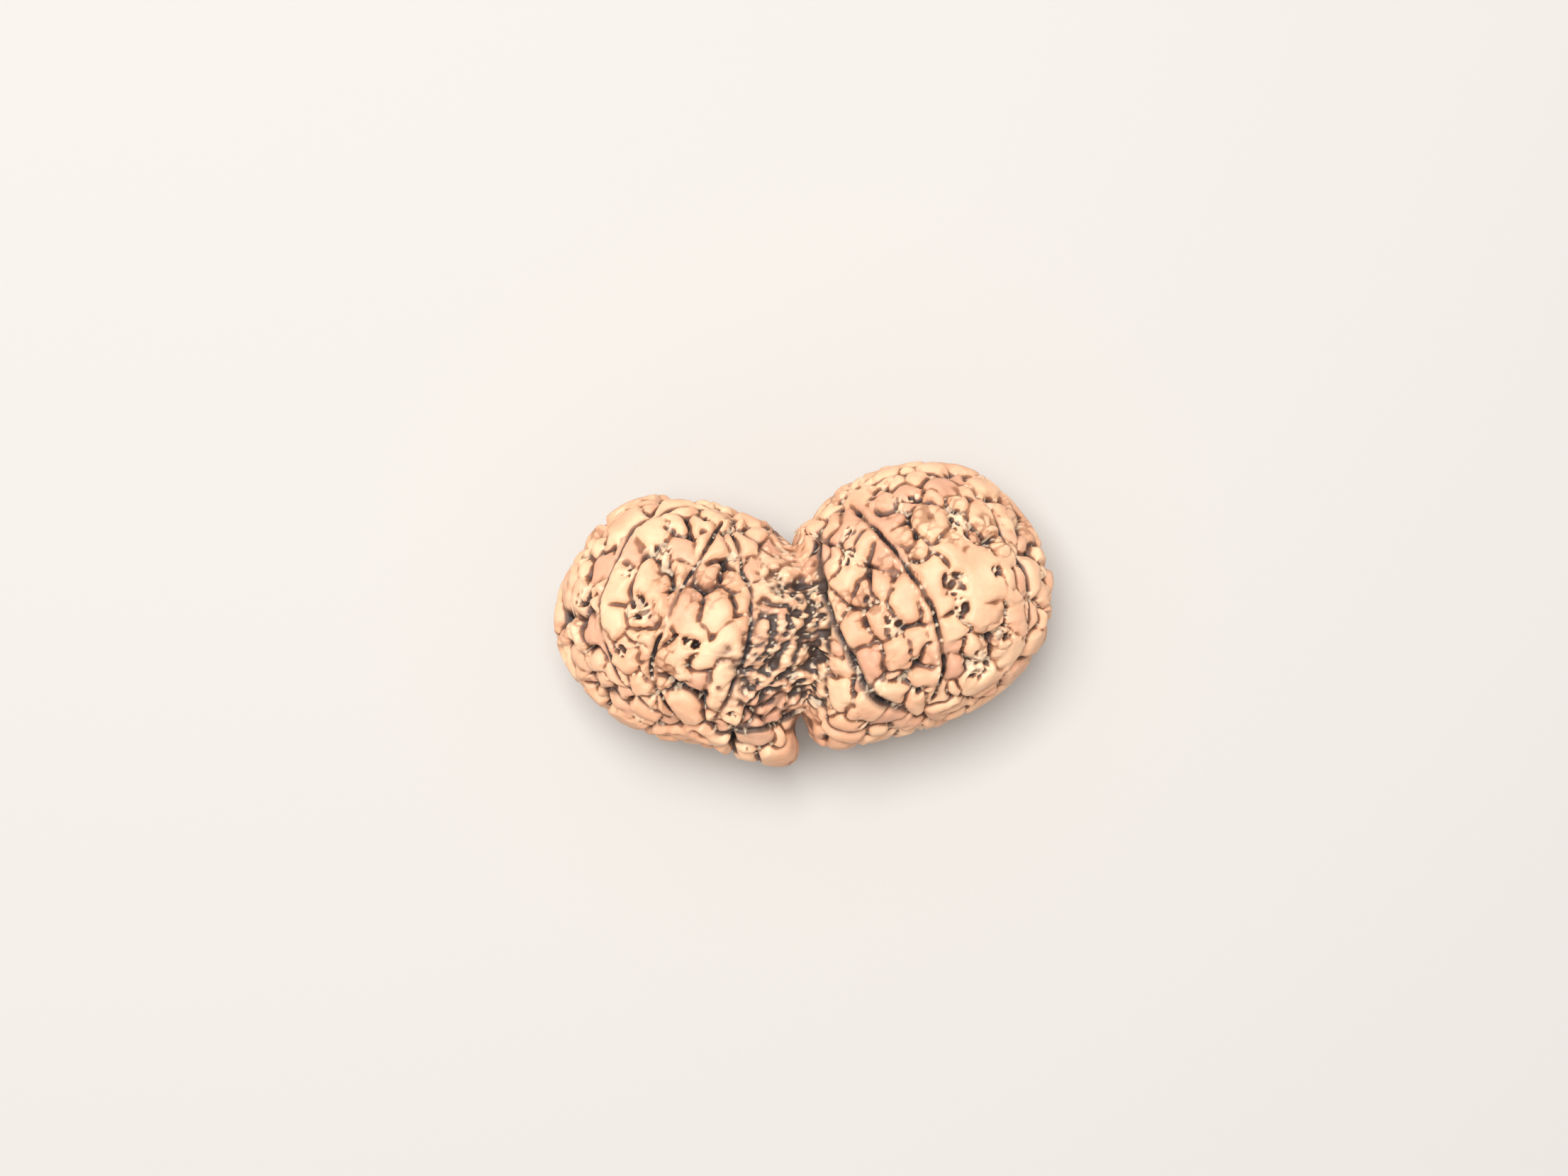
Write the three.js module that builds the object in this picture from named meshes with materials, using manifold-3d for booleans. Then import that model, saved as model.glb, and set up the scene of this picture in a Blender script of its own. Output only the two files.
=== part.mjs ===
// A twin rudraksha: two fruit stones of a blue marble tree that grew fused side by side into one woody body.
// Millimetres, +Z up. It lies on its side. X runs through both lobes, the poles of each lobe point along Y,
// and the origin is on the surface it rests on, under the middle of its box.
// The outer skin of each lobe is a smooth form, and the relief is carved into that skin: flat topped plates
// with cracks between them, straight furrows from pole to pole (the mukhi lines), pits, and a rough waist.
import * as THREE from "three";
import { mergeVertices } from "three/addons/utils/BufferGeometryUtils.js";
import Module from "manifold-3d";

// Driving sizes
const REST_CUT = 0.4; // how far the lowest plate under each lobe is flattened where the stone rests
const FACES_ALONG = 48; // mesh steps from one end of the stone to the other, ends left out
const FACES_ROUND = 24; // mesh steps across one side of the section
const END_SHARE = 1 / 3; // share of each lobe's steps that its end cap takes

// The crease where the lobes meet: an ellipse round the X axis, bowed in X
const WAIST = { y: -0.8, z: 7.3, radiusY: 5.6, radiusZ: 5.8 };
const WAIST_X = { middle: -0.625, towardsTop: 0.325, bow: 1.075, lean: 0.25 };

// Each lobe: the outline in plan as hand placed points, anticlockwise round the centre; a swelling that
// stands out at mid height; the two poles that the furrows run between; the furrows' angles about the line
// of the poles, from straight up towards the lobe's outer end; the larger plates and the pits that show from
// above, each as [x, y, radius], the places where plates have grown together, and the plate it rests on.
// A furrow is [degrees halfway between the poles, how they change towards the foot pole, the same squared,
// how open it is].
const LEFT = {
  side: -1,
  centre: [-8, -0.3, 7.1],
  halfThickness: 7.4,
  outline: [
    [4.2, -0.6], [-0.3, 4.8], [-1.1, 5.9], [-2.2, 6.5], [-4, 7.5], [-6, 8.4], [-9, 8.8], [-11, 8.3],
    [-13, 6.8], [-15, 4.3], [-16, 0.7], [-14, -3.9], [-11, -6.5], [-8, -7.45], [-5.2, -8.4], [-2.8, -7.5],
    [-1.3, -6.1],
  ],
  swelling: { towards: -0.96, out: 2.2, width: 0.21, height: 0.42 },
  topPole: [-3.9, 7.2, 8.8],
  footPole: [-7.5, -6.75, 10.7],
  furrows: [
    [-115, -48, 102, 1.5], [-28.7, -8.3, 17.3, 0.9], [29, 23, 2, 1.1], [66.8, -1.5, 0, 0.95],
    [84.7, -1.9, 1.4, 0.75], [120, 0, 0, 0.8], [157, 0, 0, 0.8], [200, 0, 0, 0.8],
  ],
  plates: [
    [-11.3, 3.4, 1.1], [-10.6, 5.2, 0.9], [-9.4, 3.2, 1.1], [-11.9, 1.2, 0.9], [-9.4, -0.2, 0.8],
    [-11.3, -1.9, 0.8], [-10.9, -3.2, 0.8], [-7.2, 1.2, 1], [-5.4, 0.9, 1.2], [-6.9, -0.6, 0.8],
    [-4.9, -1.1, 0.9], [-8.6, -1.9, 0.9], [-8.3, -4.9, 1.1], [-5.5, -2.9, 0.8], [-7, -3.2, 0.6],
    [-12.6, 4.8, 0.8], [-14.3, 2.6, 0.9], [-13.6, 0.6, 0.8], [-14.9, -1.1, 0.8], [-15.7, 0.9, 0.7],
    [-13.3, -2.9, 0.7], [-12, -2.6, 0.5], [-10.9, 7.3, 1.1], [-9, 6.5, 0.8], [-7.2, 7.2, 0.6],
    [-8.8, 8.5, 0.7], [-6.9, 5.2, 0.8], [-7.1, 3.8, 0.6], [-5.5, 3.5, 0.7], [-3.4, 5.2, 0.9],
    [-4.5, 7.1, 0.9], [-2.9, 3.2, 0.5], [-2.9, 1.7, 0.6], [-2.4, 0.6, 0.6], [-2.1, -8.4, 1.7],
    [-3.9, -7.1, 1.1], [-6, -6.4, 0.5], [-3.7, -4.6, 0.9], [-6.2, -4.7, 0.5],
  ],
  pits: [
    [-10.2, 1.7, 0.85], [-8.3, 5.3, 0.75], [-8.3, 4.4, 0.5], [-10.6, 4, 0.4], [-7.1, -0.9, 0.5],
    [-13.7, 2.9, 0.6], [-11.8, -0.9, 0.5], [-7.6, 2.7, 0.4], [-12.1, 6.2, 0.45], [-5.5, 7, 0.5],
    [-3.2, -5.1, 0.5], [-5.3, -5.4, 0.4], [-4.8, -8, 0.4], [-4.1, 4.3, 0.4],
  ],
  fused: [[-5.8, 0, 2.4]],
  boldness: 1.3,
  footPlate: [-8, -0.4, 1.8],
};
const RIGHT = {
  side: 1,
  centre: [7.8, 0.2, 7.5],
  halfThickness: 7.8,
  outline: [
    [16.05, 0.8], [15, 4.2], [13, 7.1], [11, 8.4], [8, 9], [5, 8.6], [3, 7.8], [1.2, 6.4], [0, 5.6],
    [-0.3, 4.8], [-1.4, -0.6], [-0.9, -6.4], [-0.6, -7.6], [0.2, -8.4], [1.6, -8.8], [4, -8.5], [7, -8.2],
    [10, -7.3], [13, -5.6], [15, -3.6],
  ],
  swelling: { towards: -2.25, out: 0.3, width: 0.2, height: 0.4 },
  topPole: [3, 7.2, 10.1],
  footPole: [6.6, -7.3, 11.15],
  furrows: [
    [-78, -9, -4, 0.8], [-45, 15, -13, 1.1], [27.4, 12, 3.3, 1], [77.7, 2.8, 12, 1.15], [113, 0, 0, 0.8],
    [150, 0, 0, 0.8], [187, 0, 0, 0.8], [234, 0, 0, 0.8],
  ],
  plates: [
    [11, 1.2, 1.5], [11, -1, 1.2], [9.5, 3.2, 0.9], [7.9, 2, 0.8], [8.1, -0.2, 0.7], [8.5, -1.9, 0.8],
    [12.9, 2.8, 0.8], [13, -0.2, 0.5], [12.2, -4, 1], [8.9, -4.5, 0.8], [5.4, 3, 1], [4.7, 1.7, 0.7],
    [6.2, 0.5, 0.8], [2.6, 2, 0.8], [2.9, -1, 0.9], [3.5, -3.2, 0.9], [5.2, -3, 0.8], [7, -4.8, 0.7],
    [4.9, -5.4, 0.6], [6.2, -6.4, 0.6], [14.6, 1.2, 0.9], [14.4, -1.5, 0.7], [14.9, 3.4, 0.7],
    [15.1, -3, 0.6], [9.6, 7.4, 1], [8.8, 6.5, 0.5], [6.7, 8, 0.6], [7.9, 8, 0.5], [5.5, 5.7, 0.7],
    [4.1, 7.4, 0.9], [8.3, 5.1, 1], [6.4, 4.4, 0.7], [12.1, 4.9, 0.9], [12.2, 7, 0.9], [1.3, -5, 0.9],
    [2.8, -4.6, 0.4], [1.1, 1.4, 0.5], [1.9, 5.6, 0.7], [2.1, 4.1, 0.5], [1.8, -7.8, 1.2],
    [3.4, -6.2, 0.7],
  ],
  pits: [
    [9.2, 1, 0.85], [9.5, -0.6, 0.6], [10.3, -4.4, 1.1], [10.2, 5, 0.8], [10.3, 4, 0.4], [5.3, -1.3, 0.8],
    [5, 1, 0.45], [3.8, 0.7, 0.4], [3, 3.6, 0.6], [3, 4.9, 0.5], [6.4, 6.7, 0.5], [7.5, 6.8, 0.45],
    [12.3, 1.3, 0.45], [12.5, -0.9, 0.4], [11.8, -2.3, 0.5], [12.5, -2.6, 0.35], [6.4, -3.4, 0.35],
    [6.7, -5.5, 0.35], [3.1, -7.4, 0.5],
  ],
  fused: [[11.1, 0.6, 2.8], [8, 0.5, 1.6]],
  boldness: 1,
  footPlate: [7.6, -0.1, 1.9],
};
const LOBES = [LEFT, RIGHT];

// Relief, in mm inwards from the skin. A spacing is the lattice step of the noise that varies a thing.
const PLATE_ROUNDS = [
  { tries: 700, radius: [0.9, 1.3] },
  { tries: 1500, radius: [0.6, 0.9] },
]; // the plates that aren't placed by hand: large ones first, then what fits between them
const PLATE = {
  gap: 0.12, // least skin between two plates' circles
  lift: 0.2, // how far the highest plates stand outside the skin
  spread: 0.42, // how much lower the lowest plates lie than the highest
  tilt: 0.13, // how much a plate may stand up at one edge, for each mm from its middle
  lengthways: 0.75, // distances count this much along the poles' line, so plates come out longer that way
};
const BEND = { by: 0.42, spacing: 1.5, finerBy: 0.2, finer: 0.7 }; // how the plates' outlines wander
const UNEVEN = { depth: 0.1, spacing: 1.2 };
const CRACK = { depth: 0.3, width: 0.3 };
const EDGE = { depth: 0.3, width: 0.6, always: 0.3 }; // the rounding of the plates towards their edges
const STRENGTH = { middle: 0.85, swing: 0.9, spacing: 1.4, least: 0.12 }; // of a crack
const GROWN_OVER = { share: 0.3, by: 0.55 }; // the plate pairs with a weak crack between them
const FUSED = { by: 0.7, level: 0.6 }; // how much weaker cracks and levels are where plates grew together
const HOLLOW = { depth: 0.4, from: 0.4, to: 1.2 }; // where no plate reaches
const FURROW = { depth: 0.5, width: 0.3, from: 0.5, to: 2.2 }; // its line, full once clear of the poles' line
const CHANNEL = { depth: 0.32, width: 0.6, highest: -0.1, lowest: 0.25, overhang: 0.35 }; // trough round it
const SWAY = { by: 0.22, spacing: 2.6, finerBy: 0.08, finer: 0.8 }; // how the furrows wander sideways
const PIT = { least: 0.6, more: 0.3, from: 0.8, to: 1.35, ragged: 0.3, spacing: 0.8 };
const HIDDEN_PITS = { each: 2, radius: [0.4, 0.8] }; // between two furrows, where the lists above give none
const POLE_DIMPLE = { depth: 0.8, radius: 1 };
const BAND = { reach: 2.3, lowReach: 4.2, rightReach: 1, lobeLength: 20 }; // the rough waist, from the crease
const ROUGH = { middle: 0.15, holes: 0.6, spacing: 1.2, keeps: 0.35, feet: 0.2 };
const CREVICE = { depth: 0.5, reach: 0.6, spacing: 0.9 }; // the broken gap that runs along the crease on top
const SETTLE = { reach: 0.38, shares: [-1, -0.5, 0, 0.5, 1], least: 0.16 }; // in mesh steps, and mm of relief

const clamp = (v, least, most) => Math.min(most, Math.max(least, v));
const smooth = (from, to, v) => {
  const t = clamp((v - from) / (to - from), 0, 1);
  return t * t * (3 - 2 * t);
};
const mix = (a, b, t) => a + (b - a) * t;
const add = (a, b) => a.map((v, i) => v + b[i]);
const sub = (a, b) => [a[0] - b[0], a[1] - b[1], a[2] - b[2]];
const dot = (a, b) => a[0] * b[0] + a[1] * b[1] + a[2] * b[2];
const cross = (a, b) => [a[1] * b[2] - a[2] * b[1], a[2] * b[0] - a[0] * b[2], a[0] * b[1] - a[1] * b[0]];
const length = (a) => Math.hypot(...a);
const unit = (a) => a.map((v) => v / length(a));
const distance = (a, b) => Math.hypot(a[0] - b[0], a[1] - b[1], a[2] - b[2]);

// Park and Miller's generator, so that each build draws the same plates
function draws(seed) {
  let state = seed;
  return () => (state = (state * 16807) % 2147483647) / 2147483647;
}

// Value noise from -1 to 1 on a lattice of that spacing, turned so that no row lies along the stone
const LATTICE_TURN = [[0.36, 0.48, -0.8], [-0.8, 0.6, 0], [0.48, 0.64, 0.6]];
const lattice = (x, y, z) => {
  const h = Math.sin(x * 127.1 + y * 311.7 + z * 74.7) * 43758.5453;
  return h - Math.floor(h);
};
function noise(p, spacing, shift = 0) {
  const q = LATTICE_TURN.map((row) => dot(row, p) / spacing + shift);
  const cell = q.map(Math.floor);
  const t = q.map((v, i) => smooth(0, 1, v - cell[i]));
  let sum = 0;
  for (let corner = 0; corner < 8; corner++) {
    const up = [corner & 1, (corner >> 1) & 1, (corner >> 2) & 1];
    const weight = up.reduce((w, u, i) => w * (u ? t[i] : 1 - t[i]), 1);
    sum += weight * lattice(cell[0] + up[0], cell[1] + up[1], cell[2] + up[2]);
  }
  return 2 * sum - 1;
}
const wander = (p, by, spacing, shift) => [1, 2, 3].map((i) => by * noise(p, spacing, shift * i));
const bell = (v, width) => Math.exp(-((v / width) ** 2));

// A lobe's outline as a smooth radius round its centre, by Hermite curves between the outline's points
function prepareOutline(lobe) {
  const knots = lobe.outline
    .map(([x, y]) => [x - lobe.centre[0], y - lobe.centre[1]])
    .map(([x, y]) => ({ angle: (Math.atan2(y, x) + 2 * Math.PI) % (2 * Math.PI), radius: Math.hypot(x, y) }))
    .sort((a, b) => a.angle - b.angle);
  const count = knots.length;
  const around = (i) => {
    const turns = Math.floor(i / count);
    const knot = knots[i - turns * count];
    return { angle: knot.angle + 2 * Math.PI * turns, radius: knot.radius };
  };
  lobe.knots = [];
  for (let i = -1; i <= count; i++) {
    const [before, here, after] = [around(i - 1), around(i), around(i + 1)];
    lobe.knots.push({ ...here, slope: (after.radius - before.radius) / (after.angle - before.angle) });
  }
}
function outlineRadius(lobe, angle) {
  const turned = (angle + 2 * Math.PI) % (2 * Math.PI);
  const i = Math.max(0, lobe.knots.findLastIndex((k) => k.angle <= turned));
  const [a, b] = [lobe.knots[i], lobe.knots[i + 1]];
  const span = b.angle - a.angle;
  const t = (turned - a.angle) / span;
  return (
    (2 * t ** 3 - 3 * t ** 2 + 1) * a.radius +
    (t ** 3 - 2 * t ** 2 + t) * span * a.slope +
    (-2 * t ** 3 + 3 * t ** 2) * b.radius +
    (t ** 3 - t ** 2) * span * b.slope
  );
}

// The lobe's radius in plan for a unit direction n: its outline, and its swelling round mid height
function lobeRadius(lobe, n) {
  const angle = Math.atan2(n[1], n[0]);
  const { towards, out, width, height } = lobe.swelling;
  const aside = Math.abs(angle - towards);
  const off = Math.min(aside, 2 * Math.PI - aside) / width;
  return outlineRadius(lobe, angle) + out * Math.exp(-(off ** 2) - (n[2] / height) ** 2);
}

function waistPoint(turn) {
  const [c, s] = [Math.cos(turn), Math.sin(turn)];
  const x = WAIST_X.middle + WAIST_X.towardsTop * c + WAIST_X.bow * s * s + WAIST_X.lean * s;
  return [x, WAIST.y + WAIST.radiusY * c, WAIST.z + WAIST.radiusZ * s];
}

// The skin of a lobe: share runs from 0 at its outer end to 1 at the waist, turn goes round the X axis from
// +Y to +Z. It is an ellipsoid whose plan is the outline, and its last part is drawn onto the crease.
function skin(lobe, share, turn) {
  const { centre, side, halfThickness } = lobe;
  const w = sub(waistPoint(turn), centre);
  const flat = Math.hypot(w[0], w[1], w[2]);
  const waistRadius = lobeRadius(lobe, [w[0] / flat, w[1] / flat, w[2] / flat]);
  const scaled = [w[0] / waistRadius, w[1] / waistRadius, w[2] / halfThickness];
  const reach = length(scaled);
  const towards = scaled.map((v) => v / reach);
  const opening = Math.acos(side * towards[0]);
  const [outer, inner] = [Math.sin((1 - share) * opening), Math.sin(share * opening)];
  const blended = [outer * side + inner * towards[0], inner * towards[1], inner * towards[2]];
  const n = blended.map((v) => v / Math.sin(opening));
  const radius = lobeRadius(lobe, n);
  const stretch = 1 + (reach - 1) * smooth(0.55, 1, share);
  return [
    centre[0] + stretch * radius * n[0],
    centre[1] + stretch * radius * n[1],
    centre[2] + stretch * halfThickness * n[2],
  ];
}

// Outward direction of the skin, from two short steps along it; at the crease it points away from the X axis
function skinNormal(lobe, share, turn) {
  const step = 0.004;
  const [from, to] = [Math.max(0.01, share - step), Math.min(1, Math.max(0.01, share) + step)];
  const along = sub(skin(lobe, to, turn), skin(lobe, from, turn));
  const middle = (from + to) / 2;
  const round = sub(skin(lobe, middle, turn + step), skin(lobe, middle, turn - step));
  const smoothSkin = unit(cross(round, along)).map((v) => -lobe.side * v);
  const away = unit([0, WAIST.radiusY * Math.cos(turn), WAIST.radiusZ * Math.sin(turn)]);
  const crease = smooth(0.95, 1, share);
  return unit(smoothSkin.map((v, i) => mix(v, away[i], crease)));
}

// The point of the skin's upper side (up = 1) or underside (up = -1) at a place in plan
function onSkin(lobe, x, y, up = 1) {
  const [dx, dy] = [x - lobe.centre[0], y - lobe.centre[1]];
  let rise = 0.5;
  for (let i = 0; i < 6; i++) {
    const across = Math.min(1, Math.hypot(dx, dy) / lobeRadius(lobe, [dx, dy, rise]));
    rise = Math.sqrt(1 - across * across);
  }
  return [x, y, lobe.centre[2] + up * lobe.halfThickness * rise];
}

// Places about the line of the poles: the angle from straight up towards the outer end, how far along the
// line from -1 at the top pole to 1 at the foot pole, and the distance away from it
function preparePoles(lobe) {
  const line = sub(lobe.footPole, lobe.topPole);
  lobe.poleMiddle = lobe.topPole.map((v, i) => (v + lobe.footPole[i]) / 2);
  lobe.poleHalf = length(line) / 2;
  lobe.poleLine = unit(line);
  const lean = lobe.poleLine[2];
  lobe.poleUp = unit(lobe.poleLine.map((v, i) => (i === 2 ? 1 : 0) - lean * v));
  const sideways = cross(lobe.poleUp, lobe.poleLine);
  lobe.poleOut = sideways.map((v) => v * Math.sign(sideways[0]) * lobe.side);
}
function aboutPoles(lobe, p) {
  const d = sub(p, lobe.poleMiddle);
  const [out, up] = [dot(d, lobe.poleOut), dot(d, lobe.poleUp)];
  const along = dot(d, lobe.poleLine) / lobe.poleHalf;
  return { angle: Math.atan2(out, up), along, away: Math.hypot(out, up) };
}

// Plates: the ones placed by hand, then seeded ones of two sizes, drawn evenly over the skin up to the waist,
// wherever there is still room
function layPlates(lobe) {
  const draw = draws(lobe.side < 0 ? 4021 : 9173);
  lobe.seeds = lobe.plates.map(([x, y, radius]) => ({ at: onSkin(lobe, x, y), radius, low: draw() }));
  const [footX, footY, footRadius] = lobe.footPlate;
  lobe.seeds.push({ at: onSkin(lobe, footX, footY, -1), radius: footRadius, low: 0 });
  for (const { tries, radius: [least, most] } of PLATE_ROUNDS)
    for (let i = 0; i < tries; i++) {
      const share = Math.acos(1 - 1.75 * draw()) / Math.acos(-0.75);
      const at = skin(lobe, share, 2 * Math.PI * draw());
      const radius = mix(least, most, draw()) * mix(1, 0.6, smooth(0.8, 0.95, share));
      const low = draw();
      if (lobe.seeds.every((s) => distance(s.at, at) > s.radius + radius + PLATE.gap))
        lobe.seeds.push({ at, radius, low });
    }
  lobe.seeds.forEach((seed, i) => {
    seed.lean = unit([0, 1, 2].map((k) => lattice(i, 1.3 * k + 2, 7) - 0.5));
  });
}

// Pits: the ones placed by hand, and seeded ones halfway between the furrows that don't show from above
function layPits(lobe) {
  const draw = draws(lobe.side < 0 ? 733 : 1511);
  lobe.holes = lobe.pits.map(([x, y, radius]) => ({ at: onSkin(lobe, x, y), radius }));
  const hidden = lobe.furrows.filter(([angle]) => angle > 70 && angle < 240);
  for (const [angle] of hidden)
    for (let i = 0; i < HIDDEN_PITS.each; i++) {
      const middle = THREE.MathUtils.degToRad(angle + 18 + 6 * (draw() - 0.5));
      const along = (i - (HIDDEN_PITS.each - 1) / 2) * 6 + 3 * (draw() - 0.5);
      const radius = mix(...HIDDEN_PITS.radius, draw());
      const away = lobe.poleUp.map((v, k) => v * Math.cos(middle) + lobe.poleOut[k] * Math.sin(middle));
      const from = lobe.poleMiddle.map((v, k) => v + lobe.poleLine[k] * along);
      lobe.holes.push({ at: skinAlongRay(lobe, from, away), radius });
    }
}
function skinAlongRay(lobe, from, away) {
  const inside = (p) => {
    const [dx, dy] = [p[0] - lobe.centre[0], p[1] - lobe.centre[1]];
    const rise = (p[2] - lobe.centre[2]) / lobe.halfThickness;
    return Math.hypot(Math.hypot(dx, dy) / lobeRadius(lobe, [dx, dy, rise]), rise) < 1;
  };
  let [near, far] = [0, 16];
  for (let i = 0; i < 24; i++) {
    const middle = (near + far) / 2;
    if (inside(from.map((v, k) => v + away[k] * middle))) near = middle;
    else far = middle;
  }
  return from.map((v, k) => v + away[k] * near);
}

// Each plate is a region round its seed. The levels and tilts of two neighbours meet halfway at their crack.
function plateRelief(lobe, p) {
  const bent = add(add(p, wander(p, BEND.by, BEND.spacing, 11)), wander(p, BEND.finerBy, BEND.finer, 5));
  const shortening = 1 - PLATE.lengthways ** 2;
  let [first, second] = [{ gap: Infinity }, { gap: Infinity }];
  for (const seed of lobe.seeds) {
    const d = sub(bent, seed.at);
    const gap = Math.sqrt(Math.max(0, dot(d, d) - shortening * dot(d, lobe.poleLine) ** 2)) - seed.radius;
    if (gap < first.gap) [first, second] = [{ gap, seed, d }, first];
    else if (gap < second.gap) second = { gap, seed, d };
  }
  const edge = second.gap - first.gap;
  const own = 0.5 + 0.5 * smooth(0, 0.45, edge);
  const low = mix(second.seed.low, first.seed.low, own);
  const tilt = mix(dot(second.d, second.seed.lean), dot(first.d, first.seed.lean), own);
  const fusing = Math.max(
    ...lobe.fused.map(([x, y, radius]) => 1 - smooth(0.6 * radius, radius, distance(p, onSkin(lobe, x, y)))),
  );
  const weak = lattice(first.seed.low + second.seed.low, 3.1, 7.7) < GROWN_OVER.share ? GROWN_OVER.by : 0;
  const wanted = STRENGTH.middle + STRENGTH.swing * noise(p, STRENGTH.spacing, 90) - weak - FUSED.by * fusing;
  const strength = clamp(wanted, STRENGTH.least, 1);
  const level = lobe.boldness * (PLATE.spread * low + PLATE.tilt * tilt) * (1 - FUSED.level * fusing);
  return (
    level - PLATE.lift +
    CRACK.depth * strength * bell(edge, CRACK.width) +
    lobe.boldness * EDGE.depth * mix(EDGE.always, 1, strength) * bell(edge, EDGE.width) +
    HOLLOW.depth * smooth(HOLLOW.from, HOLLOW.to, first.gap) +
    UNEVEN.depth * noise(p, UNEVEN.spacing, 140)
  );
}

// A furrow levels the plates that it crosses and sinks its line in a trough
function carveFurrow(lobe, p, depth) {
  const { angle, along, away } = aboutPoles(lobe, p);
  const sway = SWAY.by * noise(p, SWAY.spacing, 40) + SWAY.finerBy * noise(p, SWAY.finer, 50);
  let nearest = { side: Infinity, opening: 0 };
  for (const [middle, lean, bow, opening] of lobe.furrows) {
    const turned = angle - THREE.MathUtils.degToRad(middle + lean * along + bow * along ** 2);
    const side = Math.cos(turned) > 0 ? away * Math.sin(turned) + sway : Infinity;
    if (Math.abs(side) < Math.abs(nearest.side)) nearest = { side, opening };
  }
  const open = nearest.opening * smooth(FURROW.from, FURROW.to, away);
  const channel = open * bell(nearest.side, CHANNEL.width);
  const furrow = CHANNEL.depth * channel + FURROW.depth * open * bell(nearest.side, FURROW.width);
  const levelled = mix(depth, clamp(depth, CHANNEL.highest, CHANNEL.lowest), Math.min(1, 0.8 * channel));
  return Math.max(levelled, furrow) + CHANNEL.overhang * furrow;
}

function pitRelief(lobe, p) {
  const ragged = add(p, wander(p, PIT.ragged, PIT.spacing, 17));
  let deepest = -Infinity;
  for (const { at, radius } of lobe.holes) {
    const floor = PIT.least + PIT.more * lattice(at[0], at[1], radius);
    const within = 1 - smooth(PIT.from * radius, PIT.to * radius, distance(at, ragged));
    if (within > 0) deepest = Math.max(deepest, floor * within);
  }
  for (const pole of [lobe.topPole, lobe.footPole])
    deepest = Math.max(deepest, POLE_DIMPLE.depth * (1 - smooth(0.1, POLE_DIMPLE.radius, distance(pole, p))));
  return deepest;
}

// The waist: holes and lumps in a band that is widest low on the left lobe, smoother on its apron at the top,
// plain between the two feet, with a broken crevice along the crease
function carveWaist(lobe, p, share, turn, depth) {
  const toCrease = (1 - share) * BAND.lobeLength;
  const widening = mix(BAND.reach, BAND.lowReach, smooth(1.2, -2.2, p[1]));
  const reach = lobe.side < 0 ? widening * mix(0.25, 1, smooth(-6.2, -5, p[1])) : BAND.rightReach;
  const zone = smooth(1.15, 0.6, toCrease / reach + 0.3 * noise(p, 1.1, 15));
  const onTop = p[2] > lobe.centre[2] + 1 ? 1 : 0;
  const apron = onTop * smooth(2, 3.2, p[1] + 0.5 * noise(p, 0.9, 18));
  const crumbled = add(p, wander(p, 0.3, ROUGH.spacing, 23));
  const body = ROUGH.middle + ROUGH.holes * smooth(0, 0.34, noise(crumbled, ROUGH.spacing, 21));
  const plain = p[2] > 5 ? smooth(-6, -6.8, p[1]) : 0;
  const rough = mix(mix(body, ROUGH.middle + ROUGH.keeps * body, apron), ROUGH.feet, plain);
  const banded = mix(depth, rough + ROUGH.keeps * clamp(depth, -0.2, 0.6), zone);
  const crevice =
    smooth(CREVICE.reach, 0, toCrease + 0.35 * noise(p, 0.8, 44)) *
    smooth(-0.3, 0.1, noise(p, CREVICE.spacing, 66)) *
    smooth(0.45, 0.85, Math.sin(turn) + 0.3 * noise(p, 1.3, 3));
  return mix(banded, rough, smooth(0.75, 0, toCrease)) + CREVICE.depth * crevice * (1 - 0.7 * apron);
}

function reliefDepth(lobe, share, turn) {
  const p = skin(lobe, share, turn);
  const furrowed = carveFurrow(lobe, p, plateRelief(lobe, p));
  return carveWaist(lobe, p, share, turn, Math.max(furrowed, pitRelief(lobe, p)));
}

// Where a mesh point comes to lie: in its own place if the skin round it is even, and otherwise in the
// deepest of the places round it, so that the mesh's edges run along the cracks and the furrows
function settle(lobe, share, turn) {
  const alongStep = (SETTLE.reach * (1 - END_SHARE)) / (FACES_ALONG / 2);
  const roundStep = (SETTLE.reach * 2 * Math.PI) / (4 * FACES_ROUND);
  const own = { share, turn, depth: reliefDepth(lobe, share, turn) };
  let [deepest, highest] = [own, own];
  for (const i of SETTLE.shares)
    for (const j of SETTLE.shares) {
      const place = { share: clamp(share + i * alongStep, 0.001, 1), turn: turn + j * roundStep };
      place.depth = reliefDepth(lobe, place.share, place.turn);
      if (place.depth > deepest.depth) deepest = place;
      if (place.depth < highest.depth) highest = place;
    }
  return deepest.depth - highest.depth > SETTLE.least ? deepest : own;
}

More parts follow.
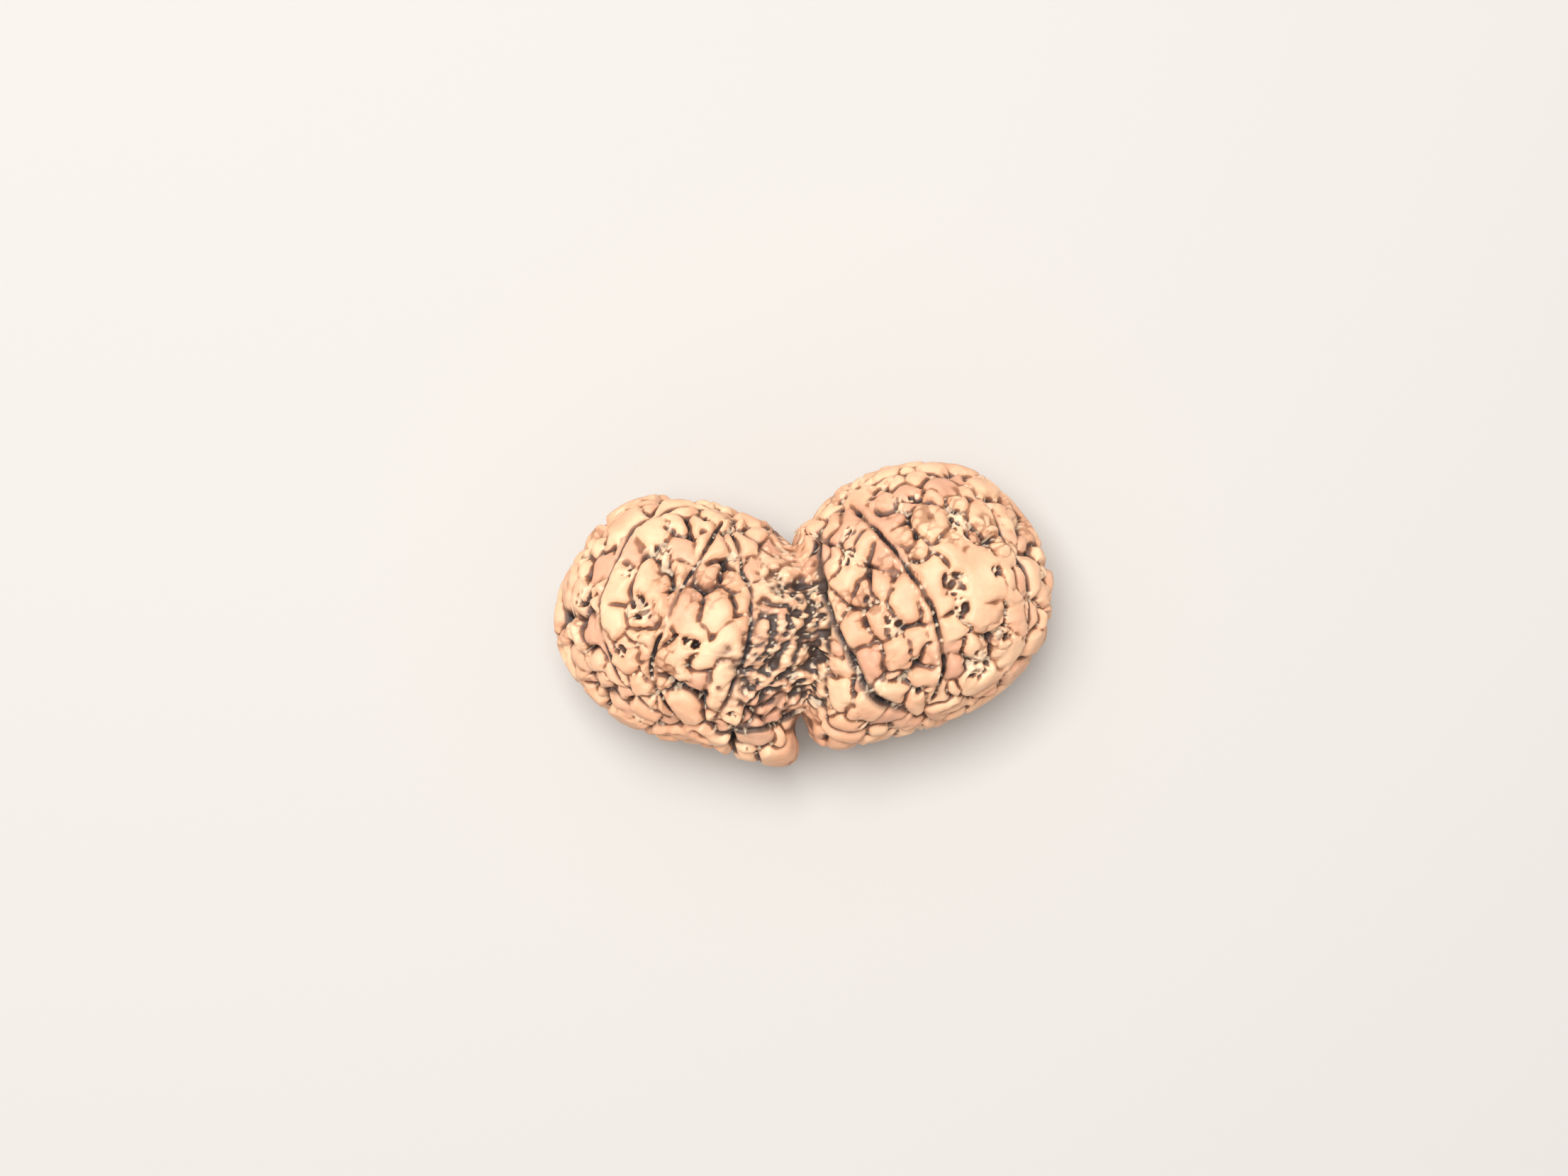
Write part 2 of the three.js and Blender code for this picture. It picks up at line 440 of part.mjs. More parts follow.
// One grid over a long box is laid round both lobes. Each end face becomes the cap of a lobe, and the box's
// middle becomes the crease, so mesh edges follow it.
function stoneGeometry() {
  const box = new THREE.BoxGeometry(2, 2, 2, FACES_ALONG, FACES_ROUND, FACES_ROUND);
  box.deleteAttribute("normal");
  box.deleteAttribute("uv");
  const grid = mergeVertices(box);
  const place = grid.getAttribute("position");
  for (let i = 0; i < place.count; i++) {
    const [x, y, z] = [place.getX(i), place.getY(i), place.getZ(i)];
    const ring = Math.max(Math.abs(y), Math.abs(z));
    const onCap = Math.abs(x) > 1 - 1e-6;
    const share = onCap ? END_SHARE * ring : END_SHARE + (1 - END_SHARE) * (1 - Math.abs(x));
    const quarter = Math.PI / 4;
    const turn =
      Math.abs(y) >= Math.abs(z)
        ? quarter * (z / (y || 1)) + (y < 0 ? Math.PI : 0)
        : 2 * quarter - quarter * (y / z) + (z < 0 ? Math.PI : 0);
    const lobe = x < 0 ? LEFT : RIGHT;
    const settled = settle(lobe, share, turn);
    const at = skin(lobe, settled.share, settled.turn);
    const out = skinNormal(lobe, settled.share, settled.turn);
    const depth = settled.depth;
    place.setXYZ(i, at[0] - depth * out[0], at[1] - depth * out[1], at[2] - depth * out[2]);
  }
  return grid;
}

function toSolid(wasm, geometry) {
  const plain = geometry.clone();
  plain.deleteAttribute("normal");
  plain.deleteAttribute("uv");
  const merged = mergeVertices(plain);
  return new wasm.Manifold(
    new wasm.Mesh({
      numProp: 3,
      vertProperties: merged.getAttribute("position").array,
      triVerts: new Uint32Array(merged.index.array),
    }),
  );
}
function toGeometry(solid) {
  const mesh = solid.getMesh();
  const geometry = new THREE.BufferGeometry();
  geometry.setAttribute("position", new THREE.BufferAttribute(mesh.vertProperties, 3));
  geometry.setIndex(new THREE.BufferAttribute(mesh.triVerts, 1));
  geometry.computeVertexNormals();
  return geometry;
}

for (const lobe of LOBES) {
  prepareOutline(lobe);
  preparePoles(lobe);
  layPlates(lobe);
  layPits(lobe);
}

// The lowest plates of both lobes are flat where the stone rests, and the flats are one plane
const wasm = await Module();
wasm.setup();
const carved = stoneGeometry();
carved.computeBoundingBox();
const underside = carved.boundingBox.min.z + REST_CUT;
const belowRest = new THREE.BoxGeometry(60, 60, 20).translate(0, 0, underside - 10);
const stone = toGeometry(toSolid(wasm, carved).subtract(toSolid(wasm, belowRest)));
stone.computeBoundingBox();
const { min, max } = stone.boundingBox;
stone.translate(-(min.x + max.x) / 2, -(min.y + max.y) / 2, -min.z);

const shell = new THREE.MeshStandardMaterial({ color: 0xe6ac86, roughness: 0.7, metalness: 0 });
const twinStone = new THREE.Mesh(stone, shell);
twinStone.name = "twin_stone";

const rudraksha = new THREE.Group();
rudraksha.add(twinStone);
export default rudraksha;
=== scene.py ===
import math
import bpy
import numpy as np
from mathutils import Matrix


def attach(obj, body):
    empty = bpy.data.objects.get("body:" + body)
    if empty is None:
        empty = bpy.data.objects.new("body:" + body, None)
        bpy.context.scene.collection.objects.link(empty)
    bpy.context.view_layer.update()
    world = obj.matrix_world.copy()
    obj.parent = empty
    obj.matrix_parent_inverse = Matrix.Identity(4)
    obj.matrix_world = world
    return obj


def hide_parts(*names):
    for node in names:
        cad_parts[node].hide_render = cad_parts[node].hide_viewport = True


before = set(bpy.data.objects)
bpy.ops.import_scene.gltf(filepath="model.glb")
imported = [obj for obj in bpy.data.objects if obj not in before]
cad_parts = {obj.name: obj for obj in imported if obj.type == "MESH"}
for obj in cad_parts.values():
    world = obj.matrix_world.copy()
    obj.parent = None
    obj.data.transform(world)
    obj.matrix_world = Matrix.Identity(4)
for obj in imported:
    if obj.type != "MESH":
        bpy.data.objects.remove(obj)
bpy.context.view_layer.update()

mm = 0.001

# The stone is worked out in its drawing's millimetres, and then moved so that it rests on z = 0
drawing = {
    "shift": (-0.079, 0.219, 0.109),
    "restLevel": -0.109,
}

view = {
    "frameMiddle": (-1.085, 1.888),   # drawing point under the middle of the picture
    "frameWidth": 100.5,              # mm across the picture at the stone's mid height
    "midHeight": 7.3,
    "turn": -6.63,                    # degrees that the picture is turned about the vertical
    "lens": 50.0,
    "sensor": 36.0,
}

stone = {
    "stepsAlong": 98,        # mesh steps along one lobe, end cap left out
    "stepsRound": 98,        # mesh steps across a side of the section
    "endShare": 1 / 3,       # how far along the way to the crease the end cap reaches
    "cavitySpread": 14,      # rounds of averaging that tell a hollow from the skin round it
}

waist = {
    "y": -0.8,
    "z": 7.3,
    "radiusY": 5.6,
    "radiusZ": 5.8,
    "middle": -0.625,
    "towardsTop": 0.325,
    "bow": 1.075,
    "lean": 0.25,
    "lobeLength": 20,        # mm along the skin from a lobe's end to the crease, roughly
}

leftLobe = {
    "side": -1,
    "centre": (-8, -0.3, 7.1),
    "halfThickness": 7.4,
    "outline": [
        (4.2, -0.6), (-0.3, 4.8), (-1.1, 5.9), (-2.2, 6.5), (-4, 7.5), (-6, 8.4), (-9, 8.8), (-11, 8.3),
        (-13, 6.8), (-15, 4.3), (-16, 0.7), (-14, -3.9), (-11, -6.5), (-8, -7.45), (-5.2, -8.4),
        (-2.8, -7.5), (-1.3, -6.1),
    ],
    "swelling": {"towards": -0.96, "out": 2.2, "width": 0.21, "height": 0.42},
    "topPole": (-3.9, 7.2, 8.8),
    "footPole": (-7.5, -6.75, 10.7),
    # degrees at the middle, their change towards the foot pole, once and squared, how open, how strong a rib
    "furrows": [
        (-115, -48, 102, 1.5, 0), (-28.7, -8.3, 17.3, 1, 0.2), (29, 23, 2, 0.95, 0.3),
        (66.8, -1.5, 0, 0.95, 0.7), (84.7, -1.9, 1.4, 0.75, 0.4), (120, 0, 0, 0.8, 0.6),
        (157, 0, 0, 0.8, 0.6), (200, 0, 0, 0.8, 0.6),
    ],
    "plates": [
        (-11.3, 3.4, 1.1), (-10.6, 5.2, 0.9), (-9.4, 3.2, 1.1), (-11.9, 1.2, 0.9), (-9.4, -0.2, 0.8),
        (-11.3, -1.9, 0.8), (-10.9, -3.2, 0.8), (-7.2, 1.2, 1), (-5.4, 0.9, 1.2), (-6.9, -0.6, 0.8),
        (-4.9, -1.1, 0.9), (-8.6, -1.9, 0.9), (-8.3, -4.9, 1.1), (-5.5, -2.9, 0.8), (-7, -3.2, 0.6),
        (-12.6, 4.8, 0.8), (-14.3, 2.6, 0.9), (-13.6, 0.6, 0.8), (-14.9, -1.1, 0.8), (-15.7, 0.9, 0.7),
        (-13.3, -2.9, 0.7), (-12, -2.6, 0.5), (-10.9, 7.3, 1.1), (-9, 6.5, 0.8), (-7.2, 7.2, 0.6),
        (-8.8, 8.5, 0.7), (-6.9, 5.2, 0.8), (-7.1, 3.8, 0.6), (-5.5, 3.5, 0.7), (-3.4, 5.2, 0.9),
        (-4.5, 7.1, 0.9), (-2.9, 3.2, 0.5), (-2.9, 1.7, 0.6), (-2.4, 0.6, 0.6), (-3.9, -7.1, 1.1),
        (-6, -6.4, 0.5), (-3.7, -4.6, 0.9), (-6.2, -4.7, 0.5),
    ],
    "pits": [
        (-10.2, 1.7, 0.85), (-8.3, 5.3, 0.75), (-8.3, 4.4, 0.5), (-10.6, 4, 0.4), (-7.1, -0.9, 0.5),
        (-13.7, 2.9, 0.6), (-11.8, -0.9, 0.5), (-7.6, 2.7, 0.4), (-12.1, 6.2, 0.45), (-5.5, 7, 0.5),
        (-3.2, -5.1, 0.5), (-5.3, -5.4, 0.4), (-4.8, -8, 0.4), (-4.1, 4.3, 0.4),
    ],
    "fused": [(-5.8, 0, 2.4)],
    "boldness": 1.3,
    "rimBoldness": 0.8,
    "tailPlates": [(-2.2, -8.8, 7.9, 1.9), (-4.8, -8.6, 8.3, 0.9), (-6.7, -8, 8.6, 0.9)],   # x, y, z, radius
    "tailOpening": 1.5,
    "footPlate": (-8, -0.4, 1.8),
    "plateSeed": 4021,
    "pitSeed": 733,
}

rightLobe = {
    "side": 1,
    "centre": (7.8, 0.2, 7.5),
    "halfThickness": 7.8,
    "outline": [
        (16.05, 0.8), (15, 4.2), (13, 7.1), (11, 8.4), (8, 9), (5, 8.6), (3, 7.8), (1.2, 6.4), (0, 5.6),
        (-0.3, 4.8), (-1.4, -0.6), (-0.9, -6.4), (-0.6, -7.6), (0.2, -8.4), (1.6, -8.8), (4, -8.5),
        (7, -8.2), (10, -7.3), (13, -5.6), (15, -3.6),
    ],
    "swelling": {"towards": -2.25, "out": 0.3, "width": 0.2, "height": 0.4},
    "topPole": (3, 7.2, 10.1),
    "footPole": (6.6, -7.3, 11.15),
    "furrows": [
        (-78, -9, -4, 0.8, 0.3), (-45, 15, -13, 1.05, 0.25), (27.4, 12, 3.3, 1.0, 1),
        (77.7, 2.8, 12, 0.95, 0.8), (113, 0, 0, 0.8, 0.6), (150, 0, 0, 0.8, 0.6), (187, 0, 0, 0.8, 0.6),
        (234, 0, 0, 0.8, 0.6),
    ],
    "plates": [
        (11, 1.2, 1.5), (11, -1, 1.2), (9.5, 3.2, 0.9), (7.9, 2, 0.8), (8.1, -0.2, 0.7), (8.5, -1.9, 0.8),
        (12.9, 2.8, 0.8), (13, -0.2, 0.5), (12.2, -4, 1), (8.9, -4.5, 0.8), (5.4, 3, 1), (4.7, 1.7, 0.7),
        (6.2, 0.5, 0.8), (2.6, 2, 0.8), (2.9, -1, 0.9), (3.5, -3.2, 0.9), (5.2, -3, 0.8), (7, -4.8, 0.7),
        (4.9, -5.4, 0.6), (6.2, -6.4, 0.6), (14.6, 1.2, 0.9), (14.4, -1.5, 0.7), (14.9, 3.4, 0.7),
        (15.1, -3, 0.6), (9.6, 7.4, 1), (8.8, 6.5, 0.5), (6.7, 8, 0.6), (7.9, 8, 0.5), (5.5, 5.7, 0.7),
        (4.1, 7.4, 0.9), (8.3, 5.1, 1), (6.4, 4.4, 0.7), (12.1, 4.9, 0.9), (12.2, 7, 0.9), (1.3, -5, 0.9),
        (2.8, -4.6, 0.4), (1.1, 1.4, 0.5), (1.9, 5.6, 0.7), (2.1, 4.1, 0.5), (1.8, -7.8, 1.2),
        (3.4, -6.2, 0.7),
    ],
    "pits": [
        (9.2, 1, 0.85), (9.5, -0.6, 0.6), (10.3, -4.4, 1.1), (10.2, 5, 0.8), (10.3, 4, 0.4),
        (5.3, -1.3, 0.8), (5, 1, 0.45), (3.8, 0.7, 0.4), (3, 3.6, 0.6), (3, 4.9, 0.5), (6.4, 6.7, 0.5),
        (7.5, 6.8, 0.45), (12.3, 1.3, 0.45), (12.5, -0.9, 0.4), (11.8, -2.3, 0.5), (12.5, -2.6, 0.35),
        (6.4, -3.4, 0.35), (6.7, -5.5, 0.35), (3.1, -7.4, 0.5),
    ],
    "fused": [(11.1, 0.6, 2.8), (8, 0.5, 1.6)],
    "boldness": 1.0,
    "rimBoldness": 0.6,
    "tailPlates": [],
    "tailOpening": None,
    "footPlate": (7.6, -0.1, 1.9),
    "plateSeed": 9173,
    "pitSeed": 1511,
}

relief = {
    "plateRounds": [(700, 0.9, 1.3), (1500, 0.6, 0.9), (2200, 0.35, 0.55)],   # tries, radius from, radius to
    "plateGap": 0.12,
    "plateLift": 0.2,
    "plateSpread": 0.42,
    "plateTilt": 0.13,         # mm a mm that a plate may stand up at one edge
    "tailLow": 0.3,            # how low the tail's plates stand; 0 for the foot plate, 0 to 1 drawn for the rest
    "alongPoles": 0.75,        # plates are longer towards the poles than round the lobe
    "crackDepth": 0.34,
    "crackWidth": 0.19,
    "edgeDepth": 0.36,         # the rounding of the plates towards their edges
    "edgeWidth": 0.62,
    "weakCracks": 0.3,         # share of the plate pairs that have grown over their crack
    "weakBy": 0.55,
    "leastCrack": 0.12,
    "wrinkleDepth": 0.06,
    "hollowDepth": 0.5,        # where no plate reaches
    "rimLift": 0.25,
    "furrowDepth": 0.42,
    "furrowWidth": 0.15,
    "channelDepth": 0.2,
    "channelWidth": 0.42,
    "ribAside": 0.34,          # from the furrow's line to the crest of its rib
    "ribWidth": 0.17,
    "ribHeight": 0.24,
    "beadHeight": 0.12,
    "pitDepth": 0.95,
    "poleDepth": 0.8,
    "poleRadius": 0.8,
    "creviceDepth": 0.5,
}


# Cubic ease: 0 before a, 1 after b, 3t^2 - 2t^3 between
def smooth(a, b, v):
    t = np.clip((v - a) / (b - a), 0.0, 1.0)
    return t * t * (3 - 2 * t)


def mix(a, b, t):
    return a + (b - a) * t


def unit(v):
    return v / np.linalg.norm(v, axis=-1, keepdims=True)


# Fraction of a large sine of the place: the same number for the same place in every run
def hashOf(x, y, z):
    h = np.sin(x * 127.1 + y * 311.7 + z * 74.7) * 43758.5453
    return h - np.floor(h)


# The lattices of the noises stand turned by this matrix, so that no row of theirs lies along the stone
latticeTurn = np.array([[0.36, 0.48, -0.8], [-0.8, 0.6, 0.0], [0.48, 0.64, 0.6]])


# Value noise from -1 to 1: the hash at the eight corners round each place, eased between
def noiseAt(p, spacing, shift=0.0):
    q = p @ latticeTurn.T / spacing + shift
    cell = np.floor(q)
    t = smooth(0, 1, q - cell)
    total = 0
    for corner in range(8):
        up = np.array([corner & 1, (corner >> 1) & 1, (corner >> 2) & 1])
        weight = np.prod(np.where(up, t, 1 - t), axis=-1)
        c = cell + up
        total = total + weight * hashOf(c[..., 0], c[..., 1], c[..., 2])
    return 2 * total - 1


# A shift that varies from place to place, the same noise three times over
def warp(p, amount, spacing, shift):
    return amount * np.stack([noiseAt(p, spacing, shift * (i + 1)) for i in range(3)], -1)


# Nearest and second nearest of one jittered point a cell, in cell sizes, and the nearest one's own number
def cellsAt(p, size, shift=0.0):
    q = p @ latticeTurn.T / size + shift
    cell = np.floor(q)
    first = np.full(len(p), 9.0)
    second = first.copy()
    own = np.zeros(len(p))
    for i in range(27):
        c = cell + np.array([i % 3 - 1, i // 3 % 3 - 1, i // 9 - 1])
        x, y, z = c[:, 0], c[:, 1], c[:, 2]
        point = c + 0.15 + 0.7 * np.stack([hashOf(x, y, z), hashOf(y + 5.3, z, x), hashOf(z, x + 9.1, y)], -1)
        d = np.linalg.norm(q - point, axis=-1)
        nearer = d < first
        second = np.where(nearer, first, np.minimum(second, d))
        own = np.where(nearer, hashOf(x + 3.7, y, z), own)
        first = np.where(nearer, d, first)
    return first, second, own


# Random draws: each is the last times 16807, modulo 2^31 - 1
def draws(seed):
    state = seed
    while True:
        state = state * 16807 % 2147483647
        yield state / 2147483647


# The outline's points as angle and radius round the lobe's centre, wrapped, with the slope through each
def prepareOutline(lobe):
    xy = np.array(lobe["outline"]) - np.array(lobe["centre"][:2])
    angle = np.arctan2(xy[:, 1], xy[:, 0]) % math.tau
    order = np.argsort(angle)
    angle, radius = angle[order], np.hypot(*xy[order].T)
    angle = np.concatenate([angle[-2:] - math.tau, angle, angle[:2] + math.tau])
    radius = np.concatenate([radius[-2:], radius, radius[:2]])
    lobe["knotAngle"], lobe["knotRadius"] = angle[1:-1], radius[1:-1]
    lobe["knotSlope"] = (radius[2:] - radius[:-2]) / (angle[2:] - angle[:-2])


# Radius in plan for a unit direction: a cubic Hermite curve between the outline's points, plus the swelling
def lobeRadius(lobe, n):
    angle = np.arctan2(n[..., 1], n[..., 0])
    turned = angle % math.tau
    i = np.searchsorted(lobe["knotAngle"], turned, side="right") - 1
    i = np.clip(i, 0, len(lobe["knotAngle"]) - 2)
    a, ra, sa = lobe["knotAngle"][i], lobe["knotRadius"][i], lobe["knotSlope"][i]
    b, rb, sb = lobe["knotAngle"][i + 1], lobe["knotRadius"][i + 1], lobe["knotSlope"][i + 1]
    span = b - a
    t = (turned - a) / span
    r = ((2 * t**3 - 3 * t**2 + 1) * ra + (t**3 - 2 * t**2 + t) * span * sa
         + (-2 * t**3 + 3 * t**2) * rb + (t**3 - t**2) * span * sb)
    s = lobe["swelling"]
    aside = np.abs(angle - s["towards"])
    off = np.minimum(aside, math.tau - aside) / s["width"]
    return r + s["out"] * np.exp(-off**2 - (n[..., 2] / s["height"]) ** 2)


# The crease round the X axis: an ellipse in Y and Z, bowed in X
def waistPoint(turn):
    c, s = np.cos(turn), np.sin(turn)
    x = waist["middle"] + waist["towardsTop"] * c + waist["bow"] * s * s + waist["lean"] * s
    return np.stack([x, waist["y"] + waist["radiusY"] * c, waist["z"] + waist["radiusZ"] * s], -1)


# Skin of a lobe: share 0 at its outer end to 1 at the crease, turn round X. An ellipsoid whose plan is the
# outline; directions run evenly from the end to the crease, and the last part is drawn onto the crease
def skin(lobe, share, turn):
    centre, thick = np.array(lobe["centre"], float), lobe["halfThickness"]
    w = waistPoint(turn) - centre
    r = lobeRadius(lobe, unit(w))
    scaled = np.stack([w[..., 0] / r, w[..., 1] / r, w[..., 2] / thick], -1)
    reach = np.linalg.norm(scaled, axis=-1)
    towards = scaled / reach[..., None]
    opening = np.arccos(lobe["side"] * towards[..., 0])
    outer, inner = np.sin((1 - share) * opening), np.sin(share * opening)
    n = np.stack([outer * lobe["side"] + inner * towards[..., 0], inner * towards[..., 1],
                  inner * towards[..., 2]], -1) / np.sin(opening)[..., None]
    stretch = 1 + (reach - 1) * smooth(0.55, 1, share)
    r = lobeRadius(lobe, n)
    return centre + stretch[..., None] * np.stack([r * n[..., 0], r * n[..., 1], thick * n[..., 2]], -1)


# Outward direction from two short steps along the skin; at the crease it points away from the X axis
def skinNormal(lobe, share, turn):
    step = 0.004
    start = np.maximum(0.01, share - step)
    end = np.minimum(1, np.maximum(0.01, share) + step)
    along = skin(lobe, end, turn) - skin(lobe, start, turn)
    middle = (start + end) / 2
    across = skin(lobe, middle, turn + step) - skin(lobe, middle, turn - step)
    smoothSkin = -lobe["side"] * unit(np.cross(across, along))
    away = unit(np.stack([0 * turn, waist["radiusY"] * np.cos(turn), waist["radiusZ"] * np.sin(turn)], -1))
    crease = smooth(0.95, 1, share)[..., None]
    return unit(mix(smoothSkin, away, crease))


# Point of the skin above (up = 1) or below (up = -1) a place in plan
def onSkin(lobe, x, y, up=1):
    cx, cy, cz = lobe["centre"]
    rise = 0.5
    for _ in range(6):
        radius = float(lobeRadius(lobe, np.array([x - cx, y - cy, rise])))
        across = min(1, math.hypot(x - cx, y - cy) / radius)
        rise = math.sqrt(1 - across * across)
    return np.array([x, y, cz + up * lobe["halfThickness"] * rise])


# The line of the poles, and the two directions across it: up, and out towards the lobe's end
def preparePoles(lobe):
    a, b = np.array(lobe["topPole"], float), np.array(lobe["footPole"], float)
    lobe["poleMiddle"] = (a + b) / 2
    lobe["poleHalf"] = np.linalg.norm(b - a) / 2
    lobe["poleLine"] = unit(b - a)
    lobe["poleUp"] = unit(np.array([0, 0, 1.0]) - lobe["poleLine"][2] * lobe["poleLine"])
    sideways = np.cross(lobe["poleUp"], lobe["poleLine"])
    lobe["poleOut"] = sideways * np.sign(sideways[0]) * lobe["side"]


# Plates: the listed ones, then random ones of three sizes wherever there is still room. The tries are
# spread evenly, as over a sphere
def layPlates(lobe):
    draw = draws(lobe["plateSeed"])
    at, radius, low = [], [], []
    for x, y, r in lobe["plates"]:
        at.append(onSkin(lobe, x, y))
        radius.append(r)
        low.append(next(draw))
    for x, y, z, r in lobe["tailPlates"]:
        at.append(np.array([x, y, z]))
        radius.append(r)
        low.append(relief["tailLow"])
    fx, fy, fr = lobe["footPlate"]
    at.append(onSkin(lobe, fx, fy, -1))
    radius.append(fr)
    low.append(0.0)
    places = np.array(at)
    radii = np.array(radius)
    for tries, least, most in relief["plateRounds"]:
        for _ in range(tries):
            share = math.acos(1 - 1.75 * next(draw)) / math.acos(-0.75)
            spot = skin(lobe, np.array(share), np.array(math.tau * next(draw)))
            r = mix(least, most, next(draw)) * mix(1, 0.6, float(smooth(0.8, 0.95, share)))
            lowness = next(draw)
            if np.all(np.linalg.norm(places - spot, axis=1) > radii + r + relief["plateGap"]):
                places = np.vstack([places, spot])
                radii = np.append(radii, r)
                low.append(lowness)
    lobe["seedAt"], lobe["seedRadius"], lobe["seedLow"] = places, radii, np.array(low)


# Pits: the listed ones, and random ones between the furrows that don't show from above, found by
# halving the way from the pole line out to the skin
def layPits(lobe):
    draw = draws(lobe["pitSeed"])
    lobe["pitAt"] = [onSkin(lobe, x, y) for x, y, r in lobe["pits"]]
    lobe["pitRadius"] = [r for x, y, r in lobe["pits"]]
    for angle, lean, bow, opening, rib in lobe["furrows"]:
        if not 70 < angle < 240:
            continue
        for i in range(2):
            middle = math.radians(angle + 18 + 6 * (next(draw) - 0.5))
            along = (i - 0.5) * 6 + 3 * (next(draw) - 0.5)
            r = mix(0.4, 0.8, next(draw))
            away = lobe["poleUp"] * math.cos(middle) + lobe["poleOut"] * math.sin(middle)
            near, far = 0.0, 16.0
            start = lobe["poleMiddle"] + lobe["poleLine"] * along
            for _ in range(24):
                half = (near + far) / 2
                d = start + away * half - np.array(lobe["centre"])
                rise = d[2] / lobe["halfThickness"]
                radius = float(lobeRadius(lobe, np.array([d[0], d[1], rise])))
                inside = math.hypot(math.hypot(d[0], d[1]) / radius, rise) < 1
                near, far = (half, far) if inside else (near, half)
            lobe["pitAt"].append(start + away * near)
            lobe["pitRadius"].append(r)


# Signed distance to the nearest furrow (the sine of the angle from it times the distance to the pole line,
# plus a sway), how open it is, how strong its rib is, and the distance to the pole line. The tail's furrow dies
# out towards the top pole
def furrowDistance(lobe, p):
    d = p - lobe["poleMiddle"]
    out, up = d @ lobe["poleOut"], d @ lobe["poleUp"]
    along = (d @ lobe["poleLine"]) / lobe["poleHalf"]
    angle, away = np.arctan2(out, up), np.hypot(out, up)
    sway = 0.22 * noiseAt(p, 2.6, 40) + 0.08 * noiseAt(p, 0.8, 50)
    best = np.full(len(p), 99.0)
    openings, ribs = np.zeros(len(p)), np.zeros(len(p))
    for middle, lean, bow, opening, rib in lobe["furrows"]:
        turned = angle - np.radians(middle + lean * along + bow * along**2)
        side = np.where(np.cos(turned) > 0, away * np.sin(turned) + sway, 99.0)
        nearer = np.abs(side) < np.abs(best)
        best = np.where(nearer, side, best)
        shown = opening * smooth(-0.4, 0.2, along) if opening == lobe["tailOpening"] else opening
        openings = np.where(nearer, shown, openings)
        ribs = np.where(nearer, rib, ribs)
    return best, openings, ribs, away


# Gap to the nearest and second nearest plate (distance to its middle less its radius), their numbers, and how
# far each stands tilted there
def plateGaps(lobe, p):
    bent = p + warp(p, 0.42, 1.5, 11) + warp(p, 0.2, 0.7, 5)
    squash = math.sqrt(1 - relief["alongPoles"] ** 2)
    pointsAtOnce = 4000                               # keeps the table of distances small
    seeds, line = lobe["seedAt"], lobe["poleLine"]
    count = len(p)
    gaps = np.zeros((2, count))
    numbers = np.zeros((2, count), int)
    for start in range(0, count, pointsAtOnce):
        part = slice(start, start + pointsAtOnce)
        b = bent[part]
        d2 = (b**2).sum(1)[:, None] + (seeds**2).sum(1)[None, :] - 2 * b @ seeds.T
        alongLine = (b @ line)[:, None] - (seeds @ line)[None, :]
        gap = np.sqrt(np.maximum(d2 - (squash * alongLine) ** 2, 0)) - lobe["seedRadius"][None, :]
        rows = np.arange(len(b))
        for i in range(2):
            nearest = gap.argmin(1)
            gaps[i, part], numbers[i, part] = gap[rows, nearest], nearest
            gap[rows, nearest] = 99
    ids = np.arange(len(seeds))
    lean = unit(np.stack([hashOf(ids, 1.3 * i + 2, 7) for i in range(3)], -1) - 0.5)
    tilt = [((bent - seeds[n]) * lean[n]).sum(1) for n in numbers]
    return gaps, numbers, tilt


# 1 at nought, falling off on both sides over the width
def bell(v, width):
    return np.exp(-((v / width) ** 2))


# Organic holes, 0 to 1: where a bent noise is high
def holesAt(p, size, shift, least=-0.02, most=0.34):
    return smooth(least, most, noiseAt(p + warp(p, 0.35 * size, 0.8 * size, shift + 2), size, shift))


# The waist's own roughness, the same for both lobes: holes of two sizes, with crumbs between them
def waistRough(p):
    near, far, own = cellsAt(p + warp(p, 0.12, 0.4, 35), 0.5, 23)
    crumb = smooth(0.6, 0.4, own) * (1 - smooth(0.2, 0.55, near))
    apron = smooth(2.0, 3.2, p[:, 1] + 0.5 * noiseAt(p, 0.9, 18)) * (p[:, 2] > 8)
    rough = (0.1 + 0.36 * holesAt(p, 0.75, 21) + 0.34 * holesAt(p, 0.4, 24) + 0.1 * noiseAt(p, 1.3, 24)
             - 0.16 * crumb)
    return mix(rough, 0.12 + 0.35 * rough, apron), apron, crumb


# 1 round a lobe's rim, where its radius in plan is nearly reached, and 0 on its top and on its swelling
def rimOf(lobe, p):
    d = p - np.array(lobe["centre"])
    plan = np.hypot(d[:, 0], d[:, 1]) / lobeRadius(lobe, d / [1, 1, lobe["halfThickness"]])
    aside = np.abs(np.arctan2(d[:, 1], d[:, 0]) - lobe["swelling"]["towards"])
    return smooth(0.75, 0.95, plan) * smooth(0.15, 0.4, np.minimum(aside, math.tau - aside))


